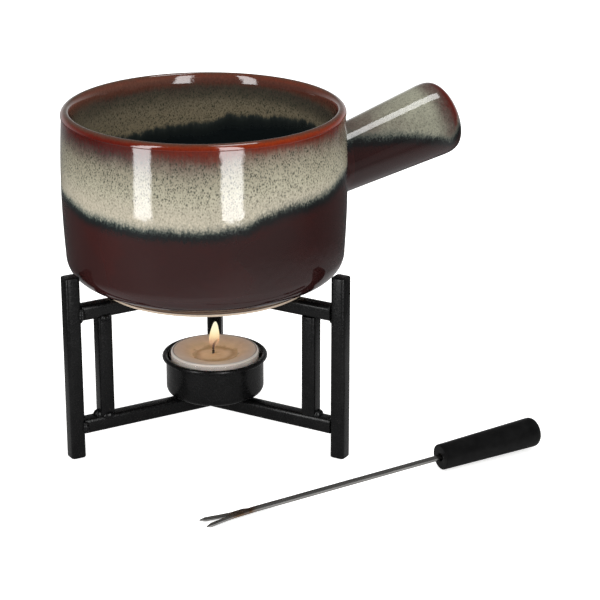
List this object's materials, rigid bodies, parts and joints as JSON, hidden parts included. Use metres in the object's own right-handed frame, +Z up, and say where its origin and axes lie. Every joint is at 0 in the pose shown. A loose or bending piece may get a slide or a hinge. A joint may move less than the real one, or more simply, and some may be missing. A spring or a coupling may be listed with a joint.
{
  "type": "fondue pot set",
  "caption": "Small glazed stoneware fondue pot with a stick handle on a three-armed black steel stand, with a tealight burner and a two-tined fork.",
  "frame": {"origin": "middle of the base of the whole set's bounding box, on the surface that the stand and the fork rest on", "axes": "+Z up; +X runs across the set towards the side where the pot's handle points and the fork's handle lies; +Y from the fork towards the stand's rear leg"},
  "size_m": [0.197, 0.165, 0.1406],
  "materials": {
    "black_coating": "satin black powder coat",
    "glazed_stoneware": "gloss reactive glaze, maroon below and speckled cream above",
    "clear_cup": "clear plastic cup, seen against the wax",
    "candle_wax": "waxy, slightly translucent",
    "cotton_wick": "charred braided cotton",
    "tinned_sheet": "tinned sheet",
    "stainless_steel": "drawn and polished wire",
    "black_handle_plastic": "satin moulded plastic"
  },
  "bodies": {
    "stand": {"left_leg": "black_coating", "left_inner_upright": "black_coating", "left_upper_rail": "black_coating", "left_lower_rail": "black_coating", "right_leg": "black_coating", "right_inner_upright": "black_coating", "right_upper_rail": "black_coating", "right_lower_rail": "black_coating", "rear_leg": "black_coating", "rear_inner_upright": "black_coating", "rear_upper_rail": "black_coating", "rear_lower_rail": "black_coating", "tealight_holder": "black_coating"},
    "pot": {"fondue_pot": "glazed_stoneware"},
    "tealight": {"tealight_cup": "clear_cup", "tealight_wax": "candle_wax", "wick_sustainer": "tinned_sheet", "wick": "cotton_wick"},
    "fork": {"fork_shaft": "stainless_steel", "fork_far_tine": "stainless_steel", "fork_handle": "black_handle_plastic"}
  },
  "joints": [
    {"name": "pot_lift", "type": "slide", "parent": "stand", "child": "pot", "axis": [0, 0, 1], "range_m": [0, 0.1]},
    {"name": "tealight_lift", "type": "slide", "parent": "stand", "child": "tealight", "axis": [0, 0, 1], "range_m": [0, 0.022]},
    {"name": "fork_lift", "type": "slide", "parent": "stand", "child": "fork", "axis": [0, 0, 1], "range_m": [0, 0.16]}
  ]
}
